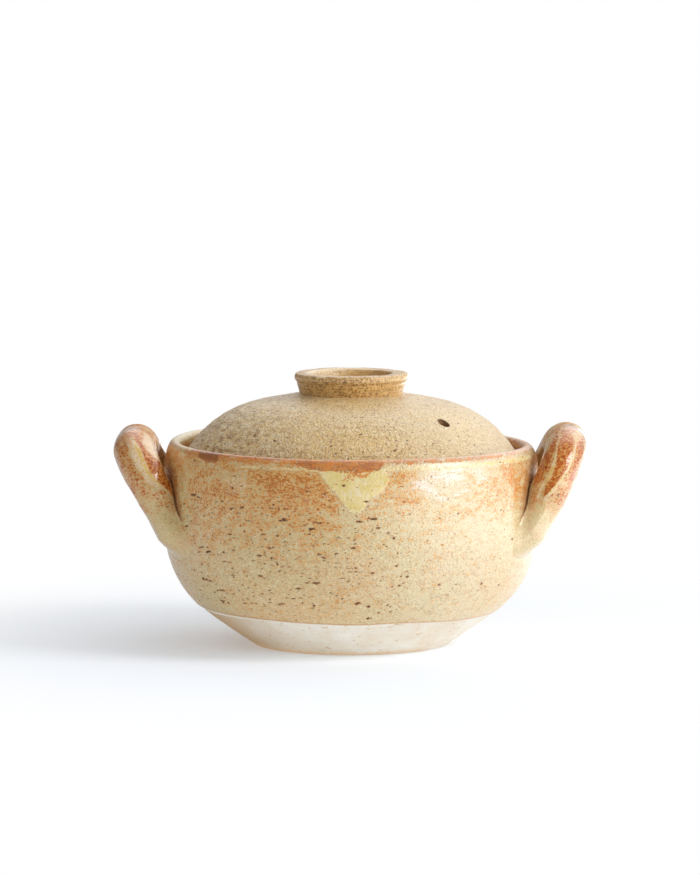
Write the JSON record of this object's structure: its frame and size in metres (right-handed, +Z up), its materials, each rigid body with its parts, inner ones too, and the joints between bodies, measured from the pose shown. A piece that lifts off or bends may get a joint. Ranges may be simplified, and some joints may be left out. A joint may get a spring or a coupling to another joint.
{
  "type": "donabe",
  "caption": "Round-bellied stoneware casserole with two outward-leaning coil handles and a loose domed lid with a ring knob and a steam hole.",
  "frame": {"origin": "centre of the flat underside, on the surface that the pot stands on", "axes": "+Z up along the throwing axis, +X towards the right handle, -Y is the front"},
  "size_m": [0.2542, 0.2014, 0.145],
  "materials": {
    "bare_clay": "bare sandy stoneware, matte",
    "ash_glaze": "speckled tan ash glaze with rust blushes, satin",
    "lining_glaze": "clear amber glaze over clay, glossy",
    "handle_glaze": "tan ash glaze with rust and yellow runs, glossy",
    "lid_clay": "bare sandy stoneware, matte",
    "dry_ash_glaze": "dry sandy ash glaze, rough",
    "knob_glaze": "ochre-brown ash glaze, satin"
  },
  "bodies": {
    "pot": {"clay_bowl": "bare_clay", "bowl_glaze": "ash_glaze", "bowl_lining": "lining_glaze", "left_handle": "handle_glaze", "right_handle": "handle_glaze"},
    "lid": {"lid_dome": "lid_clay", "lid_glaze": "dry_ash_glaze", "lid_knob": "knob_glaze"}
  },
  "joints": [
    {"name": "lid_lift", "type": "slide", "parent": "pot", "child": "lid", "axis": [0, 0, 1], "range_m": [0, 0.12]}
  ]
}
